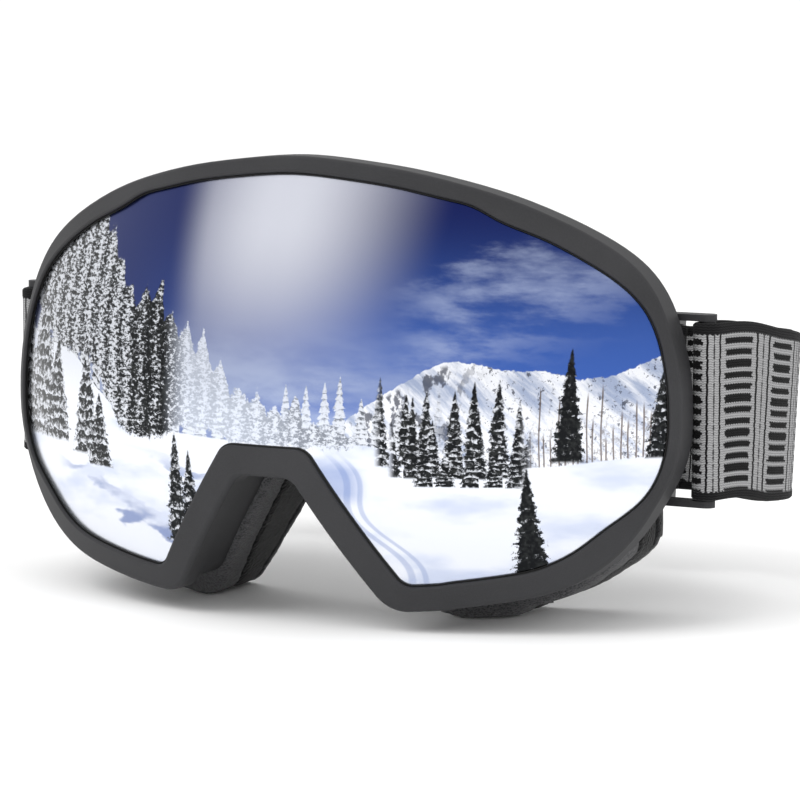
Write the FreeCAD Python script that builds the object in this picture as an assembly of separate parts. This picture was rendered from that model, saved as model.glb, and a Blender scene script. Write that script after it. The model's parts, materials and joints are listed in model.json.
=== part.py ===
"""Ski goggles: a moulded frame with a curved double lens, layered face foam,
and an elastic strap that runs round two frame bars and through two sliders.

Row frame, in millimetres: +Z up, -Y is the way the wearer looks, +X is to the
right of someone who faces the lens. The origin is under the middle of the
goggles, on the surface that they stand on.
"""
import FreeCAD
import Part
import math
import os

V = FreeCAD.Vector

# ---- Driving dimensions -------------------------------------------------
# Rim, seen from the front.
rim_width = 174.0            # over the two sides
rim_height = 101.5           # from the lowest to the highest point
nose_arch_height = 30.1      # underside of the nose arch above the rim's lowest point
nose_arch_half = 6.8         # half the width of the nose arch at its top
nose_foot_half = 27.1        # half the distance between the two feet beside the nose
foot_radius = 8.0            # corner of the rim at each foot
arch_radius = 4.5            # corner of the rim at the top of the nose arch
cheek_slope = 4.0            # degrees that the rim rises outwards from each foot
brow_rim = 3.7               # rim from its outer edge to the lens opening, over the brow
temple_rim = 4.7             # the same beyond the step in the brow
side_rim = 2.4
cheek_rim = 5.9
nose_rim = 6.8
brow_step_x = 47.0           # where the rim steps from brow_rim to temple_rim
brow_step_length = 6.0
opening_foot_radius = 4.0    # corners of the lens opening
opening_arch_radius = 4.5

# Curved surfaces.
lens_radius = 124.0          # of the lens's front face, which is part of a ball
lens_equator = 43.6          # height at which the lens stands furthest forward
face_radius = 150.0          # plan curvature of the face side
face_depth = 48.0            # from the lens's front to the face side, at the middle

# Frame moulding.
lip_thickness = 1.3          # of rim in front of the lens
rim_depth = 5.0              # from the lens's front face to the back of the rim
groove_depth = 1.4           # how far the lens reaches into the rim
body_depth = 18.0            # from the lens's front to the back of the moulding
wall = 2.8                   # of the body behind the rim
body_inset_top = 4.6         # body's outer face inside the rim's edge, at the brow
body_inset_side = 10.5       # the same at the strap bars
body_inset_cheek = 1.6
nose_inset = 1.2             # the same at the nose arch
edge_fillet = 1.2            # front edges of the rim, outside and round the nose
lens_edge_fillet = 0.5       # edge of the rim next to the lens

# Lenses and what holds them.
outer_lens_thickness = 1.3
inner_lens_thickness = 0.8
spacer_thickness = 2.2
spacer_width = 4.0
gasket_thickness = 0.3
gasket_show = 0.4            # how much of the gasket shows inside the rim
fit_gap = 0.15               # between a lens and its pocket

# Face foam, in three layers.
base_foam_thickness = 10.0
fleece_thickness = 2.4
foam_inset_top = 7.0         # foam's outer face inside the rim's edge, at the brow
foam_inset_side = 12.5
foam_inset_cheek = 0.0
foam_width_top = 13.0
foam_width_side = 11.0
foam_width_cheek = 12.0
foam_width_nose = 5.5
cheek_flare = 5.0            # how far the foam stands out below the rim at each foot
cheek_flare_start = 42.0     # where that starts to fade, from the middle
cheek_flare_end = 68.0       # where it has faded out
foam_stand_height = 4.2      # of the rim's lowest point above the table

# Vents.
vent_length = 24.0
vent_depth = 6.0
vent_count_top = 3
vent_pitch_top = 34.0
vent_centre_bottom = 47.0
vent_length_bottom = 16.0
vent_foam_thickness = 1.4

# Strap bars on the frame.
bar_radius = 1.7
bar_beyond = 1.9             # of the bar's axis outside the rim's widest point
bar_behind = 9.0             # of the bar's axis behind the lens's front at that point
arm_height = 1.5             # of each arm that carries a bar
arm_depth = 4.0
arm_cover = 0.2              # of arm beyond the bar
arm_root = 3.4               # how far each arm's foot reaches in across the moulding's wall
arm_root_depth = 9.0
strap_clearance = 0.3        # between a strap's edge and an arm

# Strap.
strap_width = 40.0
strap_thickness = 1.5
strap_centre_z = 49.4        # height of the strap's middle at the bars
strap_tilt = 7.5             # degrees that the strap hangs down towards the back
strap_exit_angle = 15.4      # outwards, where it leaves the bars
strap_side_radius = 111.0
strap_corner_radius = 41.25
layer_gap = 0.3
bar_gap = 0.2                # between the strap and a bar
tilt_joint_radius = 24.0     # the strap turns outside this radius about its bars
tilt_joint_gap = 0.35

# Sliders.
slider_length = 18.0         # along the strap
slider_bar = 3.4             # width of each outer bar
slider_plate = 2.2           # thickness of the outer bars
slider_rail = 2.6            # height of the top and bottom rails
slider_gap = 0.35
slider_round = 0.5           # on the slider's long edges
slider_pin_radius = 1.2      # of the middle bar, which the strap's end is sewn round
slider_pin_gap = 0.12
slider_centre = 43.0         # from the middle of the strap, with the strap let out
slider_fold_gap = 0.6        # between the slider's sewn end and the inner layer
grip_height = 2.4            # silicone lines inside the strap
grip_thickness = 0.5
grip_pitch = 9.0
grip_count = 3
grip_half = 20.0
tack_count = 5               # stitches in each bar tack
tack_size = 0.5
tack_pitch = 6.0

# ---- Derived places -----------------------------------------------------
half_width = rim_width / 2
rim_bottom = foam_stand_height
rim_top = rim_bottom + rim_height
far = 400.0
rear_plane = 100.0           # beyond the back of every foam layer
deep_gap = 9.0               # least gap between the points of an outline far inside the rim
pocket_depth = outer_lens_thickness + spacer_thickness + inner_lens_thickness
bar_x = half_width + bar_beyond
bar_y = (lens_radius - math.sqrt(lens_radius ** 2 - half_width ** 2)) + bar_behind

# The rim's outline from the middle of the brow down to the cheek, as shares of
# half its width and of its height.
RIM_SHAPE = [
    (0.000, 1.000), (0.155, 0.991), (0.310, 0.973), (0.440, 0.949),
    (0.505, 0.934), (0.580, 0.913), (0.680, 0.877), (0.790, 0.826),
    (0.880, 0.764), (0.938, 0.690), (0.968, 0.620), (0.990, 0.540),
    (1.000, 0.445), (0.992, 0.345), (0.948, 0.248), (0.887, 0.163),
    (0.810, 0.098), (0.720, 0.056), (0.600, 0.030), (0.480, 0.0135),
]

# Shares of the rim's height between which the brow gives way to the side, and
# the side to the cheek: on the rim, and on what lies behind it.
RIM_ZONES = (0.83, 0.62, 0.27, 0.10)
DEEP_ZONES = (0.92, 0.66, 0.20, 0.05)


def smooth(a, b, x):
    """0 before a, 1 after b, with a smooth turn between them."""
    t = min(1.0, max(0.0, (x - a) / (b - a)))
    return t * t * (3 - 2 * t)


def mix(a, b, t):
    return a + (b - a) * t


# ---- Outlines -----------------------------------------------------------
def zone(z, limits):
    """How much a height on the outline belongs to the side and to the cheek."""
    share = (z - rim_bottom) / rim_height
    brow, side_top, side_bottom, cheek = limits
    side = smooth(brow, side_top, share) * smooth(cheek, side_bottom, share)
    return side, smooth(side_bottom, cheek, share)


def by_zone(top, side, cheek, limits):
    """An offset that changes smoothly round the rim."""
    def offset(x, z):
        side_share, cheek_share = zone(z, limits)
        return mix(mix(top, side, side_share), cheek, cheek_share)
    return offset


def opening_offset(x, z):
    half_step = brow_step_length / 2
    step = smooth(brow_step_x - half_step, brow_step_x + half_step, abs(x))
    return by_zone(mix(brow_rim, temple_rim, step), side_rim, cheek_rim, RIM_ZONES)(x, z)


def smooth_down(x):
    """Share of the cheek flare that is left at x."""
    return 1 - smooth(cheek_flare_start, cheek_flare_end, abs(x))


def foam_inset(x, z):
    return by_zone(foam_inset_top, foam_inset_side, foam_inset_cheek, DEEP_ZONES)(x, z)


def foam_offset(x, z):
    return foam_inset(x, z) - cheek_flare * smooth_down(x) * zone(z, DEEP_ZONES)[1]


def rim_points():
    """The rim's outline with its inward normals, from the right cheek to the brow."""
    points = [V(u * half_width, 0, rim_bottom + v * rim_height) for u, v in RIM_SHAPE]
    extra = []
    half_step = brow_step_length / 2
    curve = Part.BSplineCurve()
    mirrored = [V(-p.x, 0, p.z) for p in reversed(points[1:])]
    curve.interpolate(mirrored + points)
    for x in (brow_step_x - half_step, brow_step_x, brow_step_x + half_step):
        extra.append(point_at_x(curve, x))
    points = sorted(points + extra, key=lambda p: curve.parameter(p))
    points = drop_crowded(points, extra)
    found = []
    for p in points:
        tangent = curve.tangent(curve.parameter(p))[0]
        found.append((p, V(-tangent.z, 0, tangent.x) * inward_sign(p, tangent)))
    return found


def inward_sign(p, tangent):
    middle = V(0, 0, rim_bottom + rim_height / 2)
    normal = V(-tangent.z, 0, tangent.x)
    return 1 if normal.dot(middle - p) > 0 else -1


def point_at_x(curve, x):
    """The point of the brow at x, by halving."""
    low = curve.parameter(V(0, 0, rim_top))
    high = curve.parameter(V(half_width, 0, rim_bottom + 0.445 * rim_height))
    for _ in range(40):
        middle = (low + high) / 2
        if curve.value(middle).x < x:
            low = middle
        else:
            high = middle
    return curve.value(low)


def drop_crowded(points, keep):
    """Without the outline points that stand too close to the brow step's own."""
    near = brow_step_length * 0.9
    return [p for p in points if p in keep or all((p - k).Length > near for k in keep)]


def outline(offset, nose_offset, foot_corner, arch_corner, least_gap=0.0):
    """A closed wire: the rim's outline moved inwards by offset(x, z), and by
    nose_offset along the nose, with the two corners beside the nose rounded.
    Points nearer than least_gap to the one before are left out."""
    right = []
    for p, inward in rim_points():
        moved = p + inward * offset(p.x, p.z)
        if not right or (moved - right[-1]).Length > least_gap:
            right.append(moved)
    slope = math.radians(cheek_slope)
    cheek_direction = V(math.cos(slope), 0, math.sin(slope))
    cheek_normal = V(-math.sin(slope), 0, math.cos(slope))
    foot = V(nose_foot_half, 0, rim_bottom)
    arch = V(nose_arch_half, 0, rim_bottom + nose_arch_height)
    leg_direction = (arch - foot).normalize()
    leg_normal = V(leg_direction.z, 0, -leg_direction.x)
    cheek_point = foot + cheek_normal * offset(nose_foot_half + foot_radius, rim_bottom)
    leg_point = foot + leg_normal * nose_offset
    foot_corner_point = meet(cheek_point, cheek_direction, leg_point, leg_direction)
    arch_point = V(0, 0, arch.z + nose_offset)
    arch_corner_point = meet(leg_point, leg_direction, arch_point, V(1, 0, 0))
    start, foot_mid, foot_end = rounded(
        foot_corner_point, cheek_direction, leg_direction, foot_corner)
    arch_start, arch_mid, arch_end = rounded(
        arch_corner_point, leg_direction * -1, V(-1, 0, 0), arch_corner)
    brow = [V(-p.x, 0, p.z) for p in reversed(right[1:])] + right
    brow = [V(-start.x, 0, start.z)] + brow + [start]
    curve = Part.BSplineCurve()
    mirrored_direction = V(-cheek_direction.x, 0, cheek_direction.z)
    curve.interpolate(Points=brow, InitialTangent=mirrored_direction * 10,
                      FinalTangent=cheek_direction * -10)
    half = [Part.Arc(start, foot_mid, foot_end).toShape(),
            Part.makeLine(foot_end, arch_start),
            Part.Arc(arch_start, arch_mid, arch_end).toShape()]
    across = V(-arch_end.x, 0, arch_end.z)
    other = [e.mirror(V(0, 0, 0), V(1, 0, 0)) for e in half]
    edges = stretches(curve, brow) + half + [Part.makeLine(arch_end, across)] + other
    return Part.Wire(Part.__sortEdges__(edges))


def stretches(curve, points):
    """The curve as several edges, a few points long each."""
    stops = [curve.parameter(p) for p in points[::4]] + [curve.parameter(points[-1])]
    stops = [curve.FirstParameter] + stops[1:-1] + [curve.LastParameter]
    return [curve.toShape(a, b) for a, b in zip(stops, stops[1:]) if b - a > 1e-6]


def meet(p, along_p, q, along_q):
    """Where two lines in the XZ plane cross."""
    cross = along_p.x * along_q.z - along_p.z * along_q.x
    gap = q - p
    return p + along_p * ((gap.x * along_q.z - gap.z * along_q.x) / cross)


def rounded(corner, along_a, along_b, radius):
    """Start, middle and end of an arc that rounds the corner between two rays."""
    half_angle = along_a.getAngle(along_b) / 2
    reach = radius / math.tan(half_angle)
    start = corner + along_a * reach
    end = corner + along_b * reach
    bisector = (along_a + along_b).normalize()
    middle = corner + bisector * (radius / math.sin(half_angle) - radius)
    return start, middle, end


def prism(outer, inner=None):
    """An outline, or the ring between two, as a bar through the whole depth."""
    face = Part.Face(outer)
    if inner is not None:
        face = face.cut(Part.Face(inner)).Faces[0]
    face.translate(V(0, -20, 0))
    return face.extrude(V(0, rear_plane + 20, 0))


# ---- Curved slabs -------------------------------------------------------
def dome(grow, back):
    """Solid whose front is the lens's front face, grown outwards and moved back."""
    return Part.makeSphere(lens_radius + grow, V(0, lens_radius + back, lens_equator))


def slab(shape, front, back):
    """The part of a prism between two depths behind the lens's front face."""
    return shape.common(dome(max(-front, 0), max(front, 0))).cut(dome(0, back))


def head(margin):
    """The wearer's face as a cutter, grown by margin."""
    return Part.makeCylinder(face_radius + margin, far,
                             V(0, face_depth + face_radius, -far / 2))


def box(low, high):
    return Part.makeBox(high[0] - low[0], high[1] - low[1], high[2] - low[2], V(*low))


def both_sides(shape):
    return [shape, shape.mirror(V(0, 0, 0), V(1, 0, 0))]


def clean(shape):
    """The solids of a shape, each with its outside outwards."""
    solids = []
    for solid in shape.removeSplitter().Solids:
        if solid.Volume < 0:
            solid.reverse()
        if solid.Volume > 0.05:
            solids.append(solid)
    return solids[0] if len(solids) == 1 else Part.makeCompound(solids)


# ---- Frame --------------------------------------------------------------
def rim_wire():
    return outline(lambda x, z: 0.0, 0.0, foot_radius, arch_radius)


def opening_wire(grown):
    """The edge of the lens opening, made larger all round by grown."""
    return outline(lambda x, z: opening_offset(x, z) - grown, nose_rim - grown,
                   max(opening_foot_radius + grown, 0.8),
                   max(opening_arch_radius - grown, 0.8))


def body_wire(inwards):
    """The outside of the moulding behind the rim, moved inwards."""
    offset = by_zone(body_inset_top, body_inset_side, body_inset_cheek, DEEP_ZONES)
    return outline(lambda x, z: offset(x, z) + inwards, nose_inset + inwards,
                   max(foot_radius - inwards, 1.0), arch_radius + inwards, deep_gap)


def vent_boxes(shrink):
    """Cutters for the vents in the top and the bottom wall."""
    found = []
    first = -(vent_count_top - 1) / 2
    for i in range(vent_count_top):
        x = (first + i) * vent_pitch_top
        found.append(vent_box(x, vent_length, rim_top - 30, rim_top, shrink))
    for x in (-vent_centre_bottom, vent_centre_bottom):
        found.append(vent_box(x, vent_length_bottom, rim_bottom - 5, rim_bottom + 14, shrink))
    return found


def lens_front_y(x, z):
    """Depth of the lens's front face at x, z."""
    return lens_radius - math.sqrt(lens_radius ** 2 - x ** 2 - (z - lens_equator) ** 2)


def vent_box(x, length, low, high, shrink):
    middle_z = rim_top - 5 if high > rim_bottom + 50 else rim_bottom + 5
    back = lens_front_y(x, middle_z) + body_depth - 2.6
    return box((x - length / 2 + shrink, back - vent_depth + shrink, low),
               (x + length / 2 - shrink, back - shrink, high))


def make_frame():
    front = slab(prism(rim_wire(), opening_wire(0.0)), -lip_thickness, rim_depth)
    front = rounded_front(front.Solids[0])
    groove = slab(prism(opening_wire(groove_depth + fit_gap)),
                  -gasket_thickness - fit_gap, outer_lens_thickness + fit_gap)
    body = slab(prism(body_wire(0.0), body_wire(wall)), pocket_depth + fit_gap, body_depth)
    frame = front.cut(groove).fuse([body] + strap_lugs())
    return clean(frame.cut(vent_boxes(0.0)))


def rounded_front(rim):
    """The rim with its front edges rounded, first the outer ones."""
    rim = rim.makeFillet(edge_fillet, front_face(rim).OuterWire.Edges)
    face = front_face(rim)
    lens_edges = [w for w in face.Wires if not w.isSame(face.OuterWire)][0].Edges
    return rim.makeFillet(lens_edge_fillet, lens_edges)


def front_face(rim):
    """The rim's face on the ball in front of the lens."""
    for face in rim.Faces:
        if isinstance(face.Surface, Part.Sphere):
            if abs(face.Surface.Radius - lens_radius - lip_thickness) < 0.01:
                return face


def strap_lugs():
    """The two arms on each side, with the bar between them."""
    half = strap_width / 2 + strap_clearance
    wall_x = half_width - body_inset_side - wall / 2
    tip = bar_x + bar_radius + arm_cover
    pieces = []
    for low in (strap_centre_z - half - arm_height, strap_centre_z + half):
        pieces.append(box((wall_x, bar_y - arm_depth / 2, low),
                          (tip - arm_depth / 2, bar_y + arm_depth / 2, low + arm_height)))
        pieces.append(box((wall_x - arm_root, bar_y - arm_root_depth, low),
                          (wall_x + 1.0, bar_y - arm_depth / 2 + 1.0, low + arm_height)))
        pieces.append(Part.makeCylinder(arm_depth / 2, arm_height,
                                        V(tip - arm_depth / 2, bar_y, low)))
    pieces.append(Part.makeCylinder(bar_radius, 2 * half + 1.0,
                                    V(bar_x, bar_y, strap_centre_z - half - 0.5)))
    one = pieces[0].fuse(pieces[1:])
    return both_sides(one)


# ---- Lenses -------------------------------------------------------------
def make_outer_lens():
    return clean(slab(prism(opening_wire(groove_depth)), 0.0, outer_lens_thickness))


def make_gasket():
    ring = prism(opening_wire(groove_depth), opening_wire(-gasket_show))
    return clean(slab(ring, -gasket_thickness, 0.0))


def make_spacer():
    ring = prism(opening_wire(-fit_gap), opening_wire(-fit_gap - spacer_width))
    front = outer_lens_thickness
    return clean(slab(ring, front, front + spacer_thickness))


def make_inner_lens():
    front = outer_lens_thickness + spacer_thickness
    return clean(slab(prism(opening_wire(-fit_gap)), front, front + inner_lens_thickness))


# ---- Foam ---------------------------------------------------------------
def foam_ring():
    outer = outline(foam_offset, 0.0, foot_radius + 1.0, arch_radius, deep_gap)
    width = by_zone(foam_width_top, foam_width_side, foam_width_cheek, DEEP_ZONES)
    inner = outline(lambda x, z: foam_inset(x, z) + width(x, z), foam_width_nose,
                    2.0, arch_radius + foam_width_nose, deep_gap)
    return prism(outer, inner).cut(box((-far, -far, -far), (far, far, 0.0)))


def make_foams():
    ring = foam_ring()
    base = slab(ring, body_depth, body_depth + base_foam_thickness)
    rest = ring.common(dome(0, body_depth + base_foam_thickness))
    core = rest.cut(head(fleece_thickness))
    fleece = rest.common(head(fleece_thickness)).cut(head(0.0))
    fleece = fleece.common(box((-far, 0, -far), (far, face_depth + face_radius, far)))
    return clean(base), clean(core), clean(fleece)


def make_vent_foams():
    """Open-cell pads that lie in the inner half of the wall's vents."""
    ring = prism(body_wire(wall - vent_foam_thickness), body_wire(wall))
    pads = [slab(ring.common(b), 0.0, body_depth) for b in vent_boxes(0.1)]
    top = Part.makeCompound([clean(p) for p in pads[:vent_count_top]])
    bottom = Part.makeCompound([clean(p) for p in pads[vent_count_top:]])
    return top, bottom


# ---- Strap --------------------------------------------------------------
def heading(angle):
    """Unit vector for a heading in degrees: 0 is +Y, positive turns towards +X."""
    a = math.radians(angle)
    return V(math.sin(a), math.cos(a), 0)


def strip(start, end, thickness, height):
    """A straight stretch of webbing between two points of its middle line."""
    along = (end - start).normalize()
    side = V(along.y, -along.x, 0) * (thickness / 2)
    corners = [start + side, end + side, end - side, start - side, start + side]
    face = Part.Face(Part.makePolygon(corners))
    face.translate(V(0, 0, -height / 2))
    return face.extrude(V(0, 0, height))


def bend(centre, radius, first, last, thickness, height):
    """A curved stretch, from angle first to last in degrees, anticlockwise from +X."""
    outer, inner = radius + thickness / 2, radius - thickness / 2
    ring = Part.makeCylinder(outer, height, centre + V(0, 0, -height / 2), V(0, 0, 1),
                             last - first)
    if inner > 0:
        ring = ring.cut(Part.makeCylinder(inner, height + 2,
                                          centre + V(0, 0, -height / 2 - 1)))
    ring.rotate(centre, V(0, 0, 1), first)
    return ring


loop_radius = bar_radius + bar_gap + strap_thickness / 2
bar_centre = V(bar_x, bar_y, 0)
side_centre = (bar_centre + V(math.cos(math.radians(strap_exit_angle)),
                              -math.sin(math.radians(strap_exit_angle)), 0)
               * (loop_radius - strap_side_radius))
corner_centre = V(side_centre.x + strap_side_radius - strap_corner_radius,
                  side_centre.y, 0)
strap_back_y = corner_centre.y + strap_corner_radius
return_offset = strap_thickness + layer_gap
return_end = (slider_centre + slider_pin_radius + slider_pin_gap + strap_thickness
              + slider_fold_gap)


def outer_layer(width):
    """Right half of the layer that shows: from the bar to the middle of the back."""
    pieces = [bend(side_centre, strap_side_radius, -strap_exit_angle, 0,
                   strap_thickness, width),
              bend(corner_centre, strap_corner_radius, 0, 90, strap_thickness, width),
              strip(V(corner_centre.x, strap_back_y, 0), V(0, strap_back_y, 0),
                    strap_thickness, width)]
    return pieces


def inner_leg_end():
    """Where the inner layer meets the outer one, on the bar side of the corner."""
    radius = strap_side_radius - return_offset
    down = (tilt_joint_radius + 1.0) / radius
    return corner_side_point(radius, max(0.0, math.sin(math.radians(strap_exit_angle))
                                         - down))


def corner_side_point(radius, sine):
    cosine = math.sqrt(1 - sine ** 2)
    return side_centre + V(radius * cosine, -radius * sine, 0), math.degrees(
        math.asin(sine))


def tangent_point(point):
    """Where the line from a point touches the strap's loop round the bar, on its
    inner side."""
    gap = point - bar_centre
    reach = math.degrees(math.acos(loop_radius / gap.Length))
    base = math.degrees(math.atan2(gap.y, gap.x))
    angle = math.radians(base + reach)
    return bar_centre + V(math.cos(angle), math.sin(angle), 0) * loop_radius, base + reach


def inner_layer(width):
    """Right half of the layer that runs back inside, from the bar to the slider."""
    end, sink = inner_leg_end()
    touch, _ = tangent_point(end)
    pieces = [strip(touch, end, strap_thickness, width)]
    if sink > 0.01:
        pieces.append(bend(side_centre, strap_side_radius - return_offset, -sink, 0,
                           strap_thickness, width))
    pieces.append(bend(corner_centre, strap_corner_radius - return_offset, 0, 90,
                       strap_thickness, width))
    y = strap_back_y - return_offset
    pieces.append(strip(V(corner_centre.x, y, 0), V(return_end, y, 0),
                        strap_thickness, width))
    return pieces


def wrap(width):
    """The turn round the bar, from the inner layer to the outer one."""
    end, _ = inner_leg_end()
    _, touch_angle = tangent_point(end)
    return bend(bar_centre, loop_radius, touch_angle, 360 - strap_exit_angle,
                strap_thickness, width)


def hang(shape):
    """Moves a strap piece to its height and tilts it about the two bars."""
    moved = shape.copy()
    moved.translate(V(0, 0, strap_centre_z))
    moved.rotate(V(0, bar_y, strap_centre_z), V(1, 0, 0), -strap_tilt)
    return moved


def joint_core(grow):
    """The round zone about the tilt axis that stays with the frame, right side."""
    return Part.makeCylinder(tilt_joint_radius + grow, 40.0,
                             V(bar_x - 15, bar_y, strap_centre_z), V(1, 0, 0))


def make_straps():
    outer = outer_layer(strap_width)
    inner = inner_layer(strap_width)
    right_outer = hang(outer[0].fuse(outer[1:]))
    right_inner = hang(inner[0].fuse(inner[1:]))
    loop = wrap(strap_width).fuse([outer[0], inner[0]])
    loop.translate(V(0, 0, strap_centre_z))
    loop = loop.common(joint_core(0.0))
    outside = joint_core(tilt_joint_gap)
    right_outer = right_outer.cut(outside)
    right_inner = right_inner.cut(outside)
    left_outer = right_outer.mirror(V(0, 0, 0), V(1, 0, 0))
    band = clean(right_outer.fuse(left_outer))
    return band, both_sides(clean(right_inner)), both_sides(clean(loop))


def make_grip():
    """Silicone lines on the inside of the strap, between the sliders' travel."""
    y = strap_back_y - strap_thickness / 2
    pieces = []
    for i in range(grip_count):
        z = (i - (grip_count - 1) / 2) * grip_pitch
        pieces.append(box((-grip_half, y - grip_thickness, z - grip_height / 2),
                          (grip_half, y, z + grip_height / 2)))
    return hang(Part.makeCompound(pieces))


# ---- Sliders ------------------------------------------------------------
slider_half_height = strap_width / 2 + slider_gap + slider_rail
pin_wrap = slider_pin_radius + slider_pin_gap + strap_thickness
slider_pin_y = (strap_back_y - strap_thickness / 2 - grip_thickness
                - slider_gap - pin_wrap)


def make_slider():
    """Two outer bars behind the strap and one bar inside it, joined by two rails."""
    out = strap_back_y + strap_thickness / 2 + slider_gap
    half = slider_length / 2
    tall = slider_half_height
    pieces = []
    for low in (-half, half - slider_bar):
        pieces.append(box((low, out, -tall), (low + slider_bar, out + slider_plate, tall)))
    rail_front = slider_pin_y - slider_pin_radius - 0.8
    for low in (-tall, tall - slider_rail):
        pieces.append(box((-half, rail_front, low),
                          (half, out + slider_plate, low + slider_rail)))
    pieces.append(Part.makeCylinder(slider_pin_radius, 2 * tall - slider_rail,
                                    V(0, slider_pin_y, -tall + slider_rail / 2)))
    body = clean(pieces[0].fuse(pieces[1:]))
    body = body.makeFillet(slider_round, long_straight_edges(body))
    body.translate(V(slider_centre, 0, 0))
    return hang(body)


def long_straight_edges(body):
    """The edges of the slider's outline, not the short ones round its pin."""
    return [e for e in body.Edges
            if isinstance(e.Curve, Part.Line) and e.Length > slider_length / 2]


def make_slider_loop():
    """The strap's sewn end round the slider's inner bar."""
    radius = slider_pin_radius + slider_pin_gap + strap_thickness / 2
    loop = bend(V(slider_centre, slider_pin_y, 0), radius, 0, 360,
                strap_thickness, strap_width - 1.0)
    return hang(loop)


def make_tacks():
    """Thread stitches across the sewn end."""
    pieces = []
    y = slider_pin_y - pin_wrap
    for i in range(tack_count):
        z = (i - (tack_count - 1) / 2) * tack_pitch
        pieces.append(box((slider_centre - 1.0, y - 0.25, z - tack_size / 2),
                          (slider_centre + 1.0, y, z + tack_size / 2)))
    return hang(Part.makeCompound(pieces))


# ---- Nodes --------------------------------------------------------------
def build():
    nodes = {}
    nodes["frame"] = make_frame()
    nodes["outer_lens"] = make_outer_lens()
    nodes["lens_gasket"] = make_gasket()
    nodes["lens_spacer"] = make_spacer()
    nodes["inner_lens"] = make_inner_lens()
    nodes["foam_base"], nodes["foam_core"], nodes["face_fleece"] = make_foams()
    nodes["vent_foam_top"], nodes["vent_foam_bottom"] = make_vent_foams()
    band, returns, loops = make_straps()
    nodes["strap_band"] = band
    nodes["strap_grip"] = make_grip()
    for name, pair in (("strap_return", returns), ("strap_loop", loops),
                       ("slider", both_sides(make_slider())),
                       ("slider_loop", both_sides(make_slider_loop())),
                       ("bar_tack", both_sides(make_tacks()))):
        nodes[name + "_right"], nodes[name + "_left"] = pair
    return nodes


def centred(nodes):
    """Moves every node so that the origin is under the middle of the goggles."""
    bounds = FreeCAD.BoundBox()
    for shape in nodes.values():
        bounds.add(shape.optimalBoundingBox(False))
    shift = V(0, -(bounds.YMin + bounds.YMax) / 2, 0)
    print("shift_y %.4f  bounds %s" % (shift.y, bounds))
    for shape in nodes.values():
        shape.translate(shift)
    return nodes


def main():
    os.makedirs("parts", exist_ok=True)
    for name, shape in centred(build()).items():
        shape.exportStep("parts/%s.step" % name)
        print("%-18s solids %d volume %9.1f valid %s" % (
            name, len(shape.Solids), shape.Volume, shape.isValid()))


main()
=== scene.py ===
"""Looks for a pair of ski goggles: moulded frame, mirrored double lens, layered
face foam, woven elastic strap with two sliders."""
import bmesh
import bpy
import json
import math
from mathutils import Matrix, Vector, noise


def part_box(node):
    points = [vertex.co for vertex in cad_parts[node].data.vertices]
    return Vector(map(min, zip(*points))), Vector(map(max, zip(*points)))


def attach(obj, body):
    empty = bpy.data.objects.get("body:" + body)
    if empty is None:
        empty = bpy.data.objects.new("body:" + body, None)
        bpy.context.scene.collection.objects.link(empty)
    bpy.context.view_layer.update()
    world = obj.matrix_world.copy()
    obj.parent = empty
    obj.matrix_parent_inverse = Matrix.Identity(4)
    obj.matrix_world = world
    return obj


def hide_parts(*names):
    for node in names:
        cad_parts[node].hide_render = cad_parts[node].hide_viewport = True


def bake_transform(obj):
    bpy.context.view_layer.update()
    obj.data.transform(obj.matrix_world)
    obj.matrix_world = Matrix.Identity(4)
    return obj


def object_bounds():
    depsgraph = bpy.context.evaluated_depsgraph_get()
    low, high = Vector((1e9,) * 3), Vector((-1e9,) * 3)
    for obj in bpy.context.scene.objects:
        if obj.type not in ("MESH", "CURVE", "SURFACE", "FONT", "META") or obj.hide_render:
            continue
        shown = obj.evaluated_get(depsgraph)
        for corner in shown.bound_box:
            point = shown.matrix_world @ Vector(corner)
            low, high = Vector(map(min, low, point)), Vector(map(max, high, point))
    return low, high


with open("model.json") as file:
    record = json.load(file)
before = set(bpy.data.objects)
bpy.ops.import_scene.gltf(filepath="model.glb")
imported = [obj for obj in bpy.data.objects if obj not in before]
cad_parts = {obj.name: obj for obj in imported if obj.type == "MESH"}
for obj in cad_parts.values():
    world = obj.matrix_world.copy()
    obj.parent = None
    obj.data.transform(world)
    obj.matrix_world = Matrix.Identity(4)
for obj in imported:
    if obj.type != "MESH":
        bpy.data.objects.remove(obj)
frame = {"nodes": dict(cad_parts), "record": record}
CAD_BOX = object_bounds()
MM = 0.001
HINGE = [v / MM for v in next(joint["pos_m"] for joint in frame["record"]["behaviour"]["joints"]
                              if joint["name"] == "strap_tilt")]

# The strap and the bars that it turns on, in millimetres and degrees.
STRAP_WIDTH, STRAP_THICK = 40.0, 1.5
ARM_BEYOND = 1.9             # of the frame's arms beyond a bar's axis
BAR_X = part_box("frame")[1][0] / MM - ARM_BEYOND
LOOP_RADIUS = 2.65           # of the strap's middle line round a bar
SIDE_RADIUS, CORNER_RADIUS = 111.0, 41.25
EXIT_ANGLE = 15.4            # outwards, where the strap leaves a bar
LAYER_STEP = 1.8             # from the outer layer's middle to the inner layer's
TILT_REACH = 24.0            # behind the bars, over which the strap starts to hang
LEG_REACH = TILT_REACH + 1.0     # behind the bars, where the inner layer's curve begins
STRAP_TILT = 7.5             # downwards, as the strap hangs
SPLICE_ANGLE = 22.0          # round the corner, where the sewn end's own piece begins
PIN_X, PIN_DEPTH = 43.0, 4.42    # of a slider's middle bar: out, and in from the outer layer
PIN_WRAP = 2.07              # radius of the sewn end's middle line round that bar
LEAN_LENGTH = 6.0            # over which the sewn end comes in to the slider's bar
FOLD_STEP = 1.65             # from the inner layer's middle to the folded tail's middle
TAIL_START, TAIL_END = 5.0, 12.0     # of the folded tail, out from the slider's bar
SAME_SPOT = 0.05             # two spots nearer than this are one
SELVEDGE, SELVEDGE_RISE = 2.2, 0.1
EDGE_ROUND = 0.12
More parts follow.
